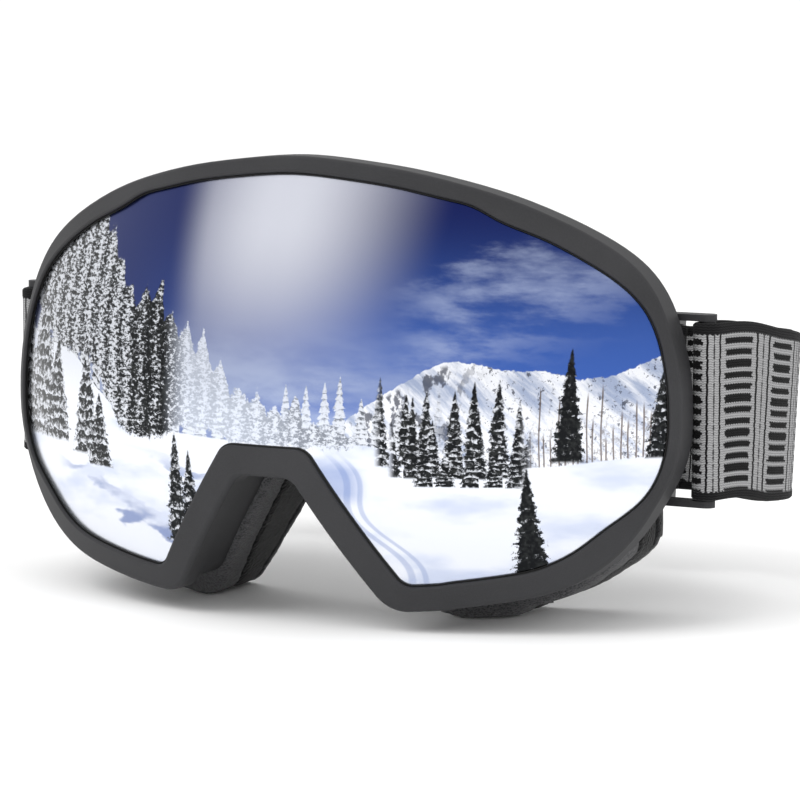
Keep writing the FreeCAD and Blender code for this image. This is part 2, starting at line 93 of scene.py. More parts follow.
WAIST, WAIST_START = 0.03, 22.0      # how much the strap narrows, and from where along it
TACK_TURNS, TACK_HALF = 22, 15.0
TACK_COLUMNS = (5.6, 9.2)    # of the two tacks, out from the slider's bar
TACK_SWING = 0.95            # of the zigzag to each side
TACK_PROUD = 0.14            # of the thread's middle over the webbing
THREAD_RADIUS, THREAD_SIDES = 0.21, 6

# The weave's pattern, in millimetres.
LADDER_START, LADDER_PITCH, LADDER_HALF = 7.0, 19.6, 5.1
ROW_CENTRE, ROW_PITCH = 0.2, 2.61
THREAD = 0.55
GATHER = 1.1                 # how much more the pattern is drawn together at the bars
FULL_TURN = 6.2832

# The mountain view painted as the mirror's reflection, in millimetres.
VIEW_HALF, VIEW_HIGH = 90.0, 110.0   # how far an outline spans to each side, and upwards
FIR_TIERS = 9.0              # of branches on a fir
ROW_SHIFT = 0.31             # of a row of firs, in firs, for each step of its seed
TRUNK_PITCH = 1.3            # of the bare trees

# The stage, in metres, and the lens in millimetres.
FLOOR_HALF, FLOOR_DROP = 6.0, 0.0004
CAMERA_AT = (0.40177, -0.77290, 0.15525)
CAMERA_RIGHT = (0.88901, 0.45789, 0.00038)
CAMERA_UP = (-0.05779, 0.11139, 0.99209)
FOCAL_LENGTH, SENSOR_WIDTH = 165.56, 36.0


# ---- Shader maths --------------------------------------------------------
class Val:
    """A number that varies over a surface. Arithmetic on it adds Math nodes."""

    def __init__(self, finish, socket):
        self.finish, self.socket = finish, socket

    def math(self, operation, *others):
        inputs = dict(enumerate((self, *others)))
        return self.finish.node("ShaderNodeMath", {"operation": operation}, inputs)

    def __add__(self, other):
        return self.math("ADD", other)

    __radd__ = __add__

    def __sub__(self, other):
        return self.math("SUBTRACT", other)

    def __rsub__(self, other):
        return self.finish.number(other).math("SUBTRACT", self)

    def __mul__(self, other):
        return self.math("MULTIPLY", other)

    __rmul__ = __mul__

    def __truediv__(self, other):
        return self.math("DIVIDE", other)

    def __abs__(self):
        return self.math("ABSOLUTE")

    def floor(self):
        return self.math("FLOOR")

    def fract(self):
        return self.math("FRACT")

    def sin(self):
        return self.math("SINE")

    def power(self, exponent):
        return self.math("POWER", exponent)

    def least(self, other):
        return self.math("MINIMUM", other)

    def most(self, other):
        return self.math("MAXIMUM", other)

    def ramp(self, low, high):
        """0 up to low and 1 from high, or the other way round if low is the larger."""
        return self.finish.node(
            "ShaderNodeMapRange", {"interpolation_type": "SMOOTHSTEP", "clamp": True},
            {"Value": self, "From Min": low, "From Max": high})

    def band(self, centre, half, soft):
        """1 within half of centre, fading to 0 over soft."""
        return abs(self - centre).ramp(half + soft, half)


class Finish:
    """A material under construction."""

    def __init__(self, name):
        self.material = bpy.data.materials.new(name)
        self.material.use_nodes = True
        self.tree = self.material.node_tree
        self.tree.nodes.clear()
        output = self.tree.nodes.new("ShaderNodeOutputMaterial")
        self.shader = self.tree.nodes.new("ShaderNodeBsdfPrincipled")
        self.tree.links.new(self.shader.outputs[0], output.inputs["Surface"])

    def node(self, kind, settings=None, inputs=None, out=0):
        """Adds a node: its settings first, then its sockets' values or links."""
        made = self.tree.nodes.new(kind)
        for key, value in (settings or {}).items():
            setattr(made, key, value)
        for key, value in (inputs or {}).items():
            if isinstance(value, Val):
                self.tree.links.new(value.socket, made.inputs[key])
            else:
                made.inputs[key].default_value = value
        return Val(self, made.outputs[out])

    def number(self, value):
        return self.node("ShaderNodeMath", {"operation": "ADD"}, {0: value, 1: 0.0})

    def place(self):
        """x, y and z in millimetres, in the goggles' frame."""
        at = self.node("ShaderNodeTexCoord", out="Object")
        parts = [self.node("ShaderNodeSeparateXYZ", None, {0: at}, out=i) for i in range(3)]
        return at, [part * (1 / MM) for part in parts]

    def vector(self, x, y, z):
        return self.node("ShaderNodeCombineXYZ", None, {0: x, 1: y, 2: z})

    def noise(self, at, scale, detail=3.0, rough=0.5):
        return self.node("ShaderNodeTexNoise", None, {
            "Vector": at, "Scale": scale, "Detail": detail, "Roughness": rough})

    def cells(self, at, scale):
        """The distance to the middle of the nearest of many small cells."""
        inputs = {"Vector": at, "Scale": scale}
        return self.node("ShaderNodeTexVoronoi", None, inputs, out="Distance")

    def chance(self, number, seed):
        """A random number from 0 to 1 for each whole number."""
        return self.node("ShaderNodeTexWhiteNoise", {"noise_dimensions": "2D"}, {
            "Vector": self.vector(number, seed, 0.0)})

    def mix(self, factor, a, b):
        """Colour a where factor is 0 and colour b where it is 1. The node's colours go
        in at sockets 6 and 7 and come out at 2."""
        return self.node("ShaderNodeMix", {"data_type": "RGBA"},
                         {0: factor, 6: colour(a), 7: colour(b)}, out=2)

    def bump(self, height, distance, strength):
        return self.node("ShaderNodeBump", None, {
            "Height": height, "Distance": distance, "Strength": strength})

    def wear(self, **sockets):
        """Sets the shader's sockets, such as base, roughness and normal."""
        names = {"base": "Base Color", "coat": "Coat Weight", "coat_rough": "Coat Roughness",
                 "sheen": "Sheen Weight", "sheen_rough": "Sheen Roughness",
                 "specular": "Specular IOR Level"}
        for key, value in sockets.items():
            socket = self.shader.inputs[names.get(key, key.capitalize())]
            if isinstance(value, Val):
                self.tree.links.new(value.socket, socket)
            else:
                socket.default_value = colour(value) if key == "base" else value
        return self.material


def colour(value):
    """A link as it is, and red, green and blue with an opaque alpha."""
    return value if isinstance(value, Val) else (*value, 1.0)


def rgb(red, green, blue):
    """A colour as the eye reads it, 0 to 255, in the shader's linear numbers."""
    return tuple(((c / 255 + 0.055) / 1.055) ** 2.4 if c > 10 else c / 255 / 12.92
                 for c in (red, green, blue))


# ---- Finishes of the hard parts -----------------------------------------
def moulded_charcoal():
    f = Finish("moulded_charcoal")
    at, _ = f.place()
    grain = f.noise(at, 5200.0, 2.0)
    cloud = f.noise(at, 38.0, 3.0)
    base = f.mix(cloud.ramp(0.3, 0.7), rgb(36, 36, 38), rgb(46, 46, 48))
    base = f.mix(grain.ramp(0.35, 0.75) * 0.35, base, rgb(60, 60, 62))
    return f.wear(base=base, roughness=0.5 + cloud * 0.14, specular=0.3,
                  normal=f.bump(grain, 0.00006, 0.55))


def black_acetal():
    f = Finish("black_acetal")
    at, _ = f.place()
    grain = f.noise(at, 3800.0, 2.0)
    smear = f.noise(at, 90.0, 4.0)
    return f.wear(base=f.mix(smear, rgb(20, 20, 21), rgb(34, 34, 36)),
                  roughness=0.26 + smear * 0.2, normal=f.bump(grain, 0.00003, 0.5))


def black_seal():
    f = Finish("black_seal")
    at, _ = f.place()
    speck = f.noise(at, 2400.0, 2.0)
    return f.wear(base=f.mix(speck, rgb(10, 10, 10), rgb(24, 24, 24)), roughness=0.7,
                  normal=f.bump(speck, 0.00005, 0.6))


def smoked_acetate():
    f = Finish("smoked_acetate")
    at, _ = f.place()
    haze = f.noise(at, 26.0, 2.0)
    return f.wear(base=f.mix(haze, rgb(52, 56, 66), rgb(66, 70, 80)),
                  roughness=0.06 + haze * 0.06, coat=1.0, alpha=0.93)


def printed_silicone():
    f = Finish("printed_silicone")
    at, _ = f.place()
    ripple = f.noise(at, 900.0, 2.0)
    return f.wear(base=f.mix(ripple, rgb(30, 30, 32), rgb(44, 44, 46)), roughness=0.3,
                  normal=f.bump(ripple, 0.00008, 0.6))


# ---- Finishes of the soft parts -----------------------------------------
def cell_foam(name, dark, light, scale, depth):
    """Open-cell foam: small pits all over, on a slightly uneven body."""
    f = Finish(name)
    at, _ = f.place()
    pits = f.cells(at, scale)
    fuzz = f.noise(at, scale * 0.9, 4.0, 0.7)
    cloud = f.noise(at, 60.0, 3.0)
    base = f.mix(pits.ramp(0.1, 0.7), dark, light)
    base = f.mix(cloud.ramp(0.3, 0.75) * 0.35, base, dark)
    return f.wear(base=base, roughness=0.95, specular=0.15, sheen=0.15, sheen_rough=0.6,
                  normal=f.bump(pits * 0.7 + fuzz * 0.5, depth, 0.9))


def brushed_fleece():
    f = Finish("brushed_fleece")
    at, _ = f.place()
    nap = f.noise(at, 1700.0, 5.0, 0.75)
    swirl = f.noise(at, 120.0, 3.0)
    base = f.mix(nap.ramp(0.3, 0.75), rgb(14, 14, 15), rgb(44, 44, 47))
    base = f.mix(swirl.ramp(0.4, 0.7) * 0.4, base, rgb(24, 24, 26))
    return f.wear(base=base, roughness=0.98, specular=0.1, sheen=0.5, sheen_rough=0.45,
                  normal=f.bump(nap, 0.0005, 0.9))


def polyester_thread():
    f = Finish("polyester_thread")
    at, (x, y, z) = f.place()
    twist = ((x + y + z) * 14.0).sin()
    return f.wear(base=f.mix(twist.ramp(-1.0, 1.0), rgb(22, 22, 23), rgb(52, 52, 54)),
                  roughness=0.6, normal=f.bump(twist, 0.00008, 0.7))


def jacquard_webbing():
    """Woven elastic: ladders of dark bars on a pale field, ruled lines between the
    ladders, and dark selvedges. The back is dark, with the bars as its paler part."""
    f = Finish("jacquard_webbing")
    weave = f.node("ShaderNodeAttribute", {"attribute_name": "weave"}, out="Vector")
    along, across, side = [f.node("ShaderNodeSeparateXYZ", None, {0: weave}, out=i)
                           for i in range(3)]
    drawn = along + along.least(0.0) * GATHER
    turn = (drawn - LADDER_START) / LADDER_PITCH
    ladder = (turn + 0.5).floor()
    from_ladder = abs(turn - ladder) * LADDER_PITCH
    thread = (across / THREAD).floor()
    jag = (f.chance(thread, ladder) - 0.5) * 1.1
    rows = (across - ROW_CENTRE) / ROW_PITCH
    row = (rows + 0.5).floor()
    from_row = abs(rows - row) * ROW_PITCH
    heavy = ((row + 17.0) / 3.0).fract().ramp(0.25, 0.1)
    tooth = (along * 6.6).sin() * 0.11
    bar = ((heavy * 0.26 + 0.72 + tooth) - from_row).ramp(-0.1, 0.14)
    bar = bar * (LADDER_HALF + jag - from_ladder).ramp(-0.12, 0.16)
    stray = (f.chance(thread, 3.0) - 0.5) * 0.3
    ruled = (from_ladder + stray).band(7.2, 0.3, 0.22)
    ruled = ruled.most((from_ladder + stray).band(LADDER_PITCH / 2, 0.12, 0.2) * 0.85)
    inside = (abs(across + 0.2) + tooth * 1.4).ramp(17.75, 17.6)
    dark = bar.most(ruled) * inside
    selvedge = 1.0 - inside
    back = side.ramp(0.2, -0.2)
    dark = dark + back * (0.92 - dark * 1.5)
    rib = (across * (FULL_TURN / THREAD) + (along * 7.0).sin() * 0.9).sin()
    fuzz = f.noise(f.vector(along, across, side), 2.2, 4.0, 0.7)
    pale = f.mix(rib.ramp(-1.0, 0.6), rgb(122, 122, 123), rgb(160, 160, 161))
    pale = f.mix(fuzz.ramp(0.45, 0.8) * 0.5, pale, rgb(176, 176, 177))
    black = f.mix(rib.ramp(-1.0, 1.0), rgb(5, 5, 5), rgb(18, 18, 19))
    base = f.mix(dark.most(0.0).least(1.0), pale, black)
    border = f.mix(rib.ramp(-1.0, 1.0), rgb(15, 15, 16), rgb(30, 30, 31))
    base = f.mix(selvedge, base, border)
    height = rib * 0.5 + dark * 0.5 + fuzz * 0.3
    return f.wear(base=base, roughness=0.92, specular=0.12, sheen=0.04, sheen_rough=0.5,
                  normal=f.bump(height, 0.00016, 0.8))


# ---- Mirror coating with a painted reflection of a mountain view --------
FIR_SNOW, FAR_HAZE = rgb(212, 215, 222), rgb(214, 222, 238)

# Single firs: the foot's place, the height, the width's share and how much snow.
LEFT_FIRS = (((-75.0, 37.0), 33.0, 9.5, 0.52), ((-83.0, 37.0), 27.0, 6.5, 0.52),
             ((-67.5, 37.0), 24.0, 5.5, 0.5), ((-55.0, 35.0), 25.0, 5.0, 0.5),
             ((-50.0, 32.5), 17.0, 4.2, 0.48))
NEAR_FIRS = (((66.3, 40.0), 25.0, 3.0, 0.34), ((83.0, 40.5), 19.0, 2.6, 0.42),
             ((-25.0, 17.5), 26.0, 3.4, 0.46), ((-21.0, 22.0), 17.0, 2.6, 0.44),
             ((58.2, 13.0), 25.5, 3.6, 0.34))
# Rows of firs: base, height, pitch and seed, then the row's middle and half its length.
MIDDLE_ROWS = ((38.5, 20.0, 5.2, 4.0, 43.0, 15.0), (36.0, 18.0, 4.4, 5.0, 44.0, 13.0),
               (34.0, 15.0, 4.8, 6.0, 46.0, 10.5))


def outline_height(f, x, stops):
    """A height in millimetres for each x, smooth through the stops (x, height)."""
    curve = f.tree.nodes.new("ShaderNodeFloatCurve")
    line = curve.mapping.curves[0]
    for i, (stop_x, stop_z) in enumerate(stops):
        spot = ((stop_x + VIEW_HALF) / (2 * VIEW_HALF), stop_z / VIEW_HIGH)
        if i < 2:
            line.points[i].location = spot
        else:
            line.points.new(*spot)
    curve.mapping.update()
    share = (x + VIEW_HALF) / (2 * VIEW_HALF)
    f.tree.links.new(share.socket, curve.inputs["Value"])
    return Val(f, curve.outputs[0]) * VIEW_HIGH


def conifer(f, across, share, width, seed_at):
    """How much a spot lies on a fir, and its place in a tier of branches. across is
    in millimetres from the trunk, and share is 0 at the tip and 1 at the foot."""
    tiers = (share * FIR_TIERS + f.noise(seed_at, 420.0, 1.0) * 1.2).fract()
    ragged = f.noise(seed_at, 800.0, 4.0, 0.8)
    reach = width * share.most(0.001).power(0.8) * (tiers * 0.34 + ragged * 1.9 - 0.12)
    inside = (reach - abs(across)).ramp(-0.12, 0.22)
    return inside * share.ramp(0.0, 0.03) * share.ramp(1.04, 1.0), tiers


def fir_snow(f, at, tiers, amount):
    """Snow that lies on the branches."""
    clumps = f.noise(at, 820.0, 4.0, 0.7)
    return (clumps + tiers * 0.22).ramp(1.08 - amount, 1.26 - amount)


def fir_row(f, at, x, z, base, height, pitch, seed, snow):
    """A row of firs whose trunks stand on base: where they are, and their snow."""
    number = (x / pitch + seed * ROW_SHIFT).floor()
    tall = f.chance(number, seed)
    shift = f.chance(number, seed + 5.0)
    middle = (number - seed * ROW_SHIFT + 0.3 + shift * 0.4) * pitch
    top = height * (0.45 + tall * 0.6)
    share = 1.0 - (z - base) / top
    inside, tiers = conifer(f, x - middle, share, pitch * 0.46, at)
    return inside, fir_snow(f, at, tiers, snow)


def lone_fir(f, at, x, z, foot, height, width, snow):
    """One fir: where it is, and its snow."""
    share = 1.0 - (z - foot[1]) / height
    inside, tiers = conifer(f, x - foot[0], share, width, at)
    return inside, fir_snow(f, at, tiers, snow)


def plant(f, needles, under, trees, haze=None):
    """Trees in front of what is under them: needles, their snow, and haze."""
    inside, white = trees
    body = f.mix(white, needles, FIR_SNOW)
    if haze is not None:
        body = f.mix(haze, body, FAR_HAZE)
    return f.mix(inside, under, body)


def sky(f, x, z):
    """Deep blue above, haze low down, and streaks of cloud at the right."""
    wisps = f.noise(f.vector(x * 0.011 + z * 0.006, z * 0.03, 0.0), 3.2, 6.0, 0.6)
    air = f.mix(z.ramp(54.0, 98.0), rgb(62, 98, 178), rgb(14, 26, 84))
    air = f.mix(x.ramp(24.0, -60.0), air, rgb(44, 53, 100))
    streak = (x * 0.55 - z + 44.0 + (wisps - 0.5) * 60.0).band(0.0, 9.0, 12.0)
    cloud = wisps.ramp(0.42, 0.7) * streak * x.ramp(24.0, 44.0) * 0.5
    air = f.mix(cloud, air, rgb(186, 198, 226))
    low_haze = z.ramp(72.0, 52.0) * (wisps.ramp(0.3, 0.65) * 0.6 + 0.2)
    return f.mix(low_haze * x.ramp(60.0, 10.0), air, rgb(176, 188, 214))


def mountain(f, at, x, z, under):
    """A snowy ridge with crags, in front of the sky."""
    ridge = outline_height(f, x, [
        (-90, 34), (0, 36), (14, 42), (20, 48), (26.5, 52.9), (31.9, 56.4), (38, 60.2),
        (43.3, 61.7), (52, 60.2), (60.4, 59.4), (71.7, 58.2), (78, 60.5), (90, 67)])
    crags = f.noise(f.vector(x * 0.05, z * 0.03, 1.0), 6.0, 8.0, 0.62)
    slope_light = f.noise(f.vector(x * 0.05 + z * 0.045, z * 0.02, 4.0), 3.0, 6.0, 0.6)
    slopes = f.mix(slope_light.ramp(0.36, 0.56), rgb(160, 172, 198), rgb(238, 240, 246))
    specks = f.noise(at, 900.0, 3.0, 0.7).ramp(0.56, 0.62)
    rocky = crags.ramp(0.52, 0.58) * (ridge - z).ramp(0.2, 1.4) * x.ramp(52.0, 40.0)
    rocky = rocky.most(specks * crags.ramp(0.44, 0.54) * x.ramp(40.0, 52.0))
    slopes = f.mix(rocky * 0.85, slopes, rgb(62, 66, 80))
    return f.mix((ridge + (crags - 0.5) * 3.2 - z).ramp(-0.15, 0.2), under, slopes)


def snowfield(f, at, x, z):
    """The snow in front, with soft blue shadows and a track that winds up it."""
    drift = f.noise(f.vector(x * 0.02, z * 0.05, 2.0), 2.2, 4.0, 0.5)
    sparkle = f.noise(at, 1500.0, 2.0)
    snow = f.mix(drift.ramp(0.34, 0.56), rgb(198, 206, 226), rgb(228, 231, 239))
    snow = f.mix(sparkle.ramp(0.55, 0.8) * 0.25, snow, rgb(216, 224, 240))
    bands = (z * 0.36 + x * 0.13 + drift * 9.0).sin().ramp(0.72, 0.98)
    shade = bands * z.ramp(40.0, 30.0) * x.band(-30.0, 26.0, 14.0) * drift.ramp(0.4, 0.55)
    snow = f.mix(shade * 0.8, snow, rgb(98, 120, 172))
    path = x - 27.0 + (z - 20.0) * 0.62 + (z * 0.3).sin() * 2.4
    track = (path.band(0.0, 0.5, 0.6) + path.band(3.0, 0.35, 0.5)).least(1.0)
    trodden = track * z.ramp(42.0, 36.0) * z.ramp(8.0, 13.0) * 0.55
    snow = f.mix(trodden, snow, rgb(150, 164, 200))
    far_shade = (path + 4.0).band(0.0, 4.0, 6.0) * z.band(34.0, 2.2, 4.0)
    return f.mix(far_shade * 0.6, snow, rgb(112, 136, 190))


def bare_trees(f, x, z, hill, under):
    """Thin bare trunks and their brush, on the hill at the right."""
    number = (x / TRUNK_PITCH).floor()
    lean = f.chance(number, 9.0)
    sway = (z * 0.4 + lean * 9.0).sin() * 0.05
    trunk = x / TRUNK_PITCH - number - 0.3 - lean * 0.4 + sway
    above = z - hill
    tall = 5.0 + lean * 13.0
    brush = f.noise(f.vector(x * 0.9, z * 0.5, 3.0), 1.6, 5.0, 0.8)
    grove = trunk.band(0.0, 0.09, 0.05) * above.ramp(tall + 0.5, tall - 2.0)
    grove = grove.most(brush.ramp(0.5, 0.62) * above.ramp(13.0, 6.0) * 0.75)
    return f.mix(grove * x.ramp(56.0, 61.0) * 0.85, under, rgb(98, 84, 76))


def left_wood(f, at, x, z):
    """The snowy wood at the left: where it is and its snow, then its haze."""
    leaves = f.noise(at, 480.0, 4.0, 0.78)
    crown_line = outline_height(f, x, [
        (-90, 84), (-68, 96), (-57, 94), (-50, 88), (-44, 80), (-39, 74), (-34, 76), (-29, 72),
        (-23, 68), (-15, 62), (-11, 58), (-6, 56), (-1, 54), (3, 51), (8, 52), (12, 49),
        (16, 50), (22, 47), (90, 30)])
    foot_line = outline_height(f, x, [
        (-90, 74), (-78, 66), (-70, 61), (-62, 58), (-54, 57), (-49, 52), (-45, 46), (-42, 42),
        (-30, 41), (-24, 44), (-15, 44), (-8, 42), (22, 42), (90, 42)])
    tree = x / 4.8 + (z * 0.21).sin() * 0.12
    crown = 1.0 - abs(tree.fract() - 0.5) * 2.0
    ragged = (leaves - 0.5) * 7.0
    crowns = crown * (f.chance(tree.floor(), 11.0) * 5.0 + 2.0)
    mass = (crown_line + crowns - 4.5 + ragged - z).ramp(-0.4, 0.5)
    mass = mass * (z - foot_line + ragged).ramp(-0.4, 0.5) * x.ramp(25.0, 22.0)
    clumps = f.noise(f.vector(x * 0.9, z * 1.35, 2.0), 0.95, 4.0, 0.75)
    laden = clumps + crown * 0.10 - x.ramp(-44.0, -34.0) * x.ramp(-22.0, -28.0) * 0.07
    haze = x.ramp(-29.0, -20.0) * (0.62 - x.ramp(-10.0, 14.0) * 0.3)
    return (mass, laden.ramp(0.50, 0.62)), haze


def glare(f, x, z, under):
    """The sun's pale glare down the upper middle."""
    flare = x.band(-1.0 + (z - 90.0) * 0.1, 2.0, 38.0) * z.ramp(46.0, 92.0)
    edge = (x - (90.0 - z) * 0.05).ramp(-31.0, -19.0)
    return f.mix(flare * edge * 0.92, under, rgb(214, 216, 226))


def painted_mirror_reflection():
    """The mirror coating, with a mountain view painted into its colour as the reflection that
    it gives back.
    """
    f = Finish("painted_mirror_reflection")
    at, (x, _, z) = f.place()
    hill = outline_height(f, x, [
        (-90, 66), (-77, 60), (-62, 58), (-50, 50), (-38, 44), (-20, 42.5), (0, 42),
        (20, 43), (40, 40), (60, 38.5), (75, 40), (90, 41)])
    needles = f.mix(f.noise(at, 900.0, 3.0).ramp(0.4, 0.75), rgb(12, 15, 18), rgb(44, 46, 46))

    # Painted reflection: the sky, ridge, trees, snow, their shadows and the glare below are all
    # painted into the lens's base colour.
    view = mountain(f, at, x, z, sky(f, x, z))
    inside, white = fir_row(f, at, x, z, hill - 0.5, 17.0, 4.4, 1.0, 0.62)
    far_firs = (inside * x.ramp(44.0, 36.0), white)
    view = plant(f, needles, view, far_firs, x.band(-4.0, 12.0, 26.0) * 0.5)
    view = bare_trees(f, x, z, hill, view)
    view = f.mix((hill - z).ramp(-0.2, 0.3), view, snowfield(f, at, x, z))
    view = plant(f, needles, view, *left_wood(f, at, x, z))
    for fir in LEFT_FIRS:
        view = plant(f, needles, view, lone_fir(f, at, x, z, *fir))
    for *row, middle, half in MIDDLE_ROWS:
        inside, white = fir_row(f, at, x, z, *row, 0.46)
        view = plant(f, needles, view, (inside * x.band(middle, half, 2.0), white))
    for fir in NEAR_FIRS:
        view = plant(f, needles, view, lone_fir(f, at, x, z, *fir))
    view = glare(f, x, z, view)

    smear = f.noise(at, 34.0, 3.0)
    # The painted reflection goes in as the base colour, under a metallic finish.
    return f.wear(base=view, metallic=0.92, roughness=0.2 + smear * 0.08,
                  coat=0.12, coat_rough=0.03)


# ---- Strap ---------------------------------------------------------------
def on_circle(centre, radius, first, last, step):
    """Spots about a step apart on an arc from first to last, in degrees, each with
    the direction away from its centre."""
    count = max(2, round(abs(math.radians(last - first)) * radius / step))
    found = []
    for i in range(count + 1):
        a = math.radians(first + (last - first) * i / count)
        away = Vector((math.cos(a), math.sin(a)))
        found.append((centre + away * radius, away))
    return found


def on_line(start, end, face, step):
    """Spots about a step apart on a line, all with the same face."""
    count = max(2, round((end - start).length / step))
    return [(start.lerp(end, i / count), face) for i in range(count + 1)]


def joined(*stretches):
    """One list of spots without the repeated ones where two stretches meet."""
    found = []
    for spot in (spot for stretch in stretches for spot in stretch):
        if not found or (spot[0] - found[-1][0]).length > SAME_SPOT:
            found.append(spot)
    return found


def strap_runs():
    """The right half of the strap in plan, in millimetres: spots on its middle line,
    each with the side that the pattern faces. There are three lists: the inner layer
    from the corner to the bar and round it, the outer layer from the bar to the middle
    of the back, and the sewn end from the corner to the slider and back."""
    bar = Vector((BAR_X, HINGE[1]))
    leave = math.radians(EXIT_ANGLE)
    side = bar + Vector((math.cos(leave), -math.sin(leave))) * (LOOP_RADIUS - SIDE_RADIUS)
    corner = Vector((side.x + SIDE_RADIUS - CORNER_RADIUS, side.y))
    back = corner.y + CORNER_RADIUS
    inner_side, inner_corner = SIDE_RADIUS - LAYER_STEP, CORNER_RADIUS - LAYER_STEP
    sink = math.asin(max(0.0, math.sin(leave) - LEG_REACH / inner_side))
    leg_end = side + Vector((math.cos(sink), -math.sin(sink))) * inner_side
    gap = leg_end - bar
    touch = math.atan2(gap.y, gap.x) + math.acos(LOOP_RADIUS / gap.length)
    off_bar = Vector((math.cos(touch), math.sin(touch)))

    def inwards(spots):
        return [(at, -away) for at, away in spots]

    inner = joined(inwards(on_circle(corner, inner_corner, SPLICE_ANGLE, 0, 1.4)),
                   inwards(on_circle(side, inner_side, 0, -math.degrees(sink), 1.4)),
                   on_line(leg_end, bar + off_bar * LOOP_RADIUS, off_bar, 1.2),
                   on_circle(bar, LOOP_RADIUS, math.degrees(touch), 360 - EXIT_ANGLE, 0.35))
    outer = joined(on_circle(side, SIDE_RADIUS, -EXIT_ANGLE, 0, 0.9),
                   on_circle(corner, CORNER_RADIUS, 0, 90, 1.2),
                   on_line(Vector((corner.x, back)), Vector((0, back)), Vector((0, 1)), 1.4))
    pin = Vector((PIN_X, back - PIN_DEPTH))
    head_side = Vector((0, -1))
    over = back - LAYER_STEP
    lean = Vector((PIN_X + LEAN_LENGTH, over))
    wrap = Vector((0, PIN_WRAP))
    tail = Vector((PIN_X + TAIL_START, over - FOLD_STEP))
    tail_end = Vector((PIN_X + TAIL_END, over - FOLD_STEP))
    sewn = joined(inwards(on_circle(corner, inner_corner, SPLICE_ANGLE, 90, 1.4)),
                  on_line(Vector((corner.x, over)), lean, head_side, 1.2),
                  on_line(lean, pin + wrap, head_side, 1.0),
                  inwards(on_circle(pin, PIN_WRAP, 90, 270, 0.4)),
                  on_line(pin - wrap, tail, Vector((0, 1)), 0.8),
                  on_line(tail, tail_end, Vector((0, 1)), 1.0))
    return inner, outer, sewn


def lengths(spots, start):
    """The strap's length at each spot, which starts at start."""
    found = [start]
    for (a, _), (b, _) in zip(spots, spots[1:]):
        found.append(found[-1] + (b - a).length)
    return found


def hung(x, y, z):
    """A spot of the strap, hung down towards the back from its bars, in metres."""
    share = min(1.0, max(0.0, (y - HINGE[1]) / TILT_REACH))
    angle = -math.radians(STRAP_TILT) * share * share * (3 - 2 * share)
    dy, dz = y - HINGE[1], z
    return Vector((x, HINGE[1] + dy * math.cos(angle) - dz * math.sin(angle),
                   HINGE[2] + dy * math.sin(angle) + dz * math.cos(angle))) * MM


def webbing_section():
    """The strap's cross-section: how far across and how far out, round the ring."""
    half, deep = STRAP_WIDTH / 2, STRAP_THICK / 2
    spans = [half - 0.55, half - 1.3, half - 2.0, half - 2.5, 15, 12, 9, 6, 3, 0]
    spans = spans + [-v for v in reversed(spans[:-1])]
    front = [(c, deep + (SELVEDGE_RISE if abs(c) > half - SELVEDGE else 0.0)) for c in spans]
    edge = [(-half + EDGE_ROUND, deep * 0.6), (-half, 0.0), (-half + EDGE_ROUND, -deep * 0.6)]
    rear = [(c, -d) for c, d in reversed(front)]
    return front + edge + rear + [(-c, -d) for c, d in edge]


def ribbon(name, spots, marks, mirrored=False):
    """A closed band of webbing along the spots. marks are the lengths that the
    pattern follows, and are kept on the mesh with the place across and the side."""
    section = webbing_section()
    mesh = bpy.data.meshes.new(name)
    form = bmesh.new()
    flip = -1 if mirrored else 1
    weave, rings = [], []
    for (at, face), mark in zip(spots, marks):
        ring = []
        narrow = 1.0 - WAIST * min(1.0, max(0.0, (mark - WAIST_START) / WAIST_START))
        ease = 0.05 * noise.noise(Vector((mark * 0.13, flip * 3.1, 0.0)))
        for across, deep in section:
            ruck = 0.04 * noise.noise(Vector((mark * 0.35, across * 0.16, 5.0 * flip)))
            spot = at + face * (deep + ruck + ease)
            ring.append(form.verts.new(hung(spot.x * flip, spot.y, across * narrow)))
            weave.append((mark, across, 1.0 if deep > 0 else -1.0))
        rings.append(ring)
    count = len(section)
    for a, b in zip(rings, rings[1:]):
        for i in range(count):
            form.faces.new((a[i], a[(i + 1) % count], b[(i + 1) % count], b[i]))
    form.faces.new(rings[0])
    form.faces.new(reversed(rings[-1]))
    bmesh.ops.recalc_face_normals(form, faces=form.faces)
    for face in form.faces:
        face.smooth = len(face.verts) == 4
    form.to_mesh(mesh)
    form.free()
    kept = mesh.attributes.new("weave", "FLOAT_VECTOR", "POINT")
    kept.data.foreach_set("vector", [v for spot in weave for v in spot])
    piece = bpy.data.objects.new(name, mesh)
    bpy.context.scene.collection.objects.link(piece)
    return piece


def strap(inner, outer, sewn, webbing):
    """The band from one inner corner to the other, and the two sewn ends."""
    run = joined(inner, outer)
    marks = lengths(run, 0.0)
    bar_mark = marks[len(inner) - 1]
    marks = [m - bar_mark for m in marks]
    left = [(Vector((-at.x, at.y)), Vector((-face.x, face.y))) for at, face in run]
    whole = run + left[-2::-1]
    band = ribbon("strap_webbing", whole, marks + marks[-2::-1])
    HINGE[1] * MM
    HINGE[2] * MM
    (HINGE[1] + TILT_REACH) * MM
    HINGE[2] * MM
    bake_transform(band)
    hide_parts("strap_band", "strap_loop_right", "strap_loop_left")
    dressed(band, webbing)
    far_mark = marks[0]
    for hand, mirrored in (("right", False), ("left", True)):
        end_marks = [-m for m in lengths(sewn, -far_mark)]
        end = ribbon("strap_sewn_end_" + hand, sewn, end_marks, mirrored)
        level = (HINGE[1] * MM, HINGE[2] * MM)
        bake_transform(end)
        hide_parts("strap_return_" + hand, "slider_loop_" + hand)
        dressed(end, webbing)


def dressed(piece, material):
    """Gives a piece its material."""
    piece.data.materials.clear()
    piece.data.materials.append(material)


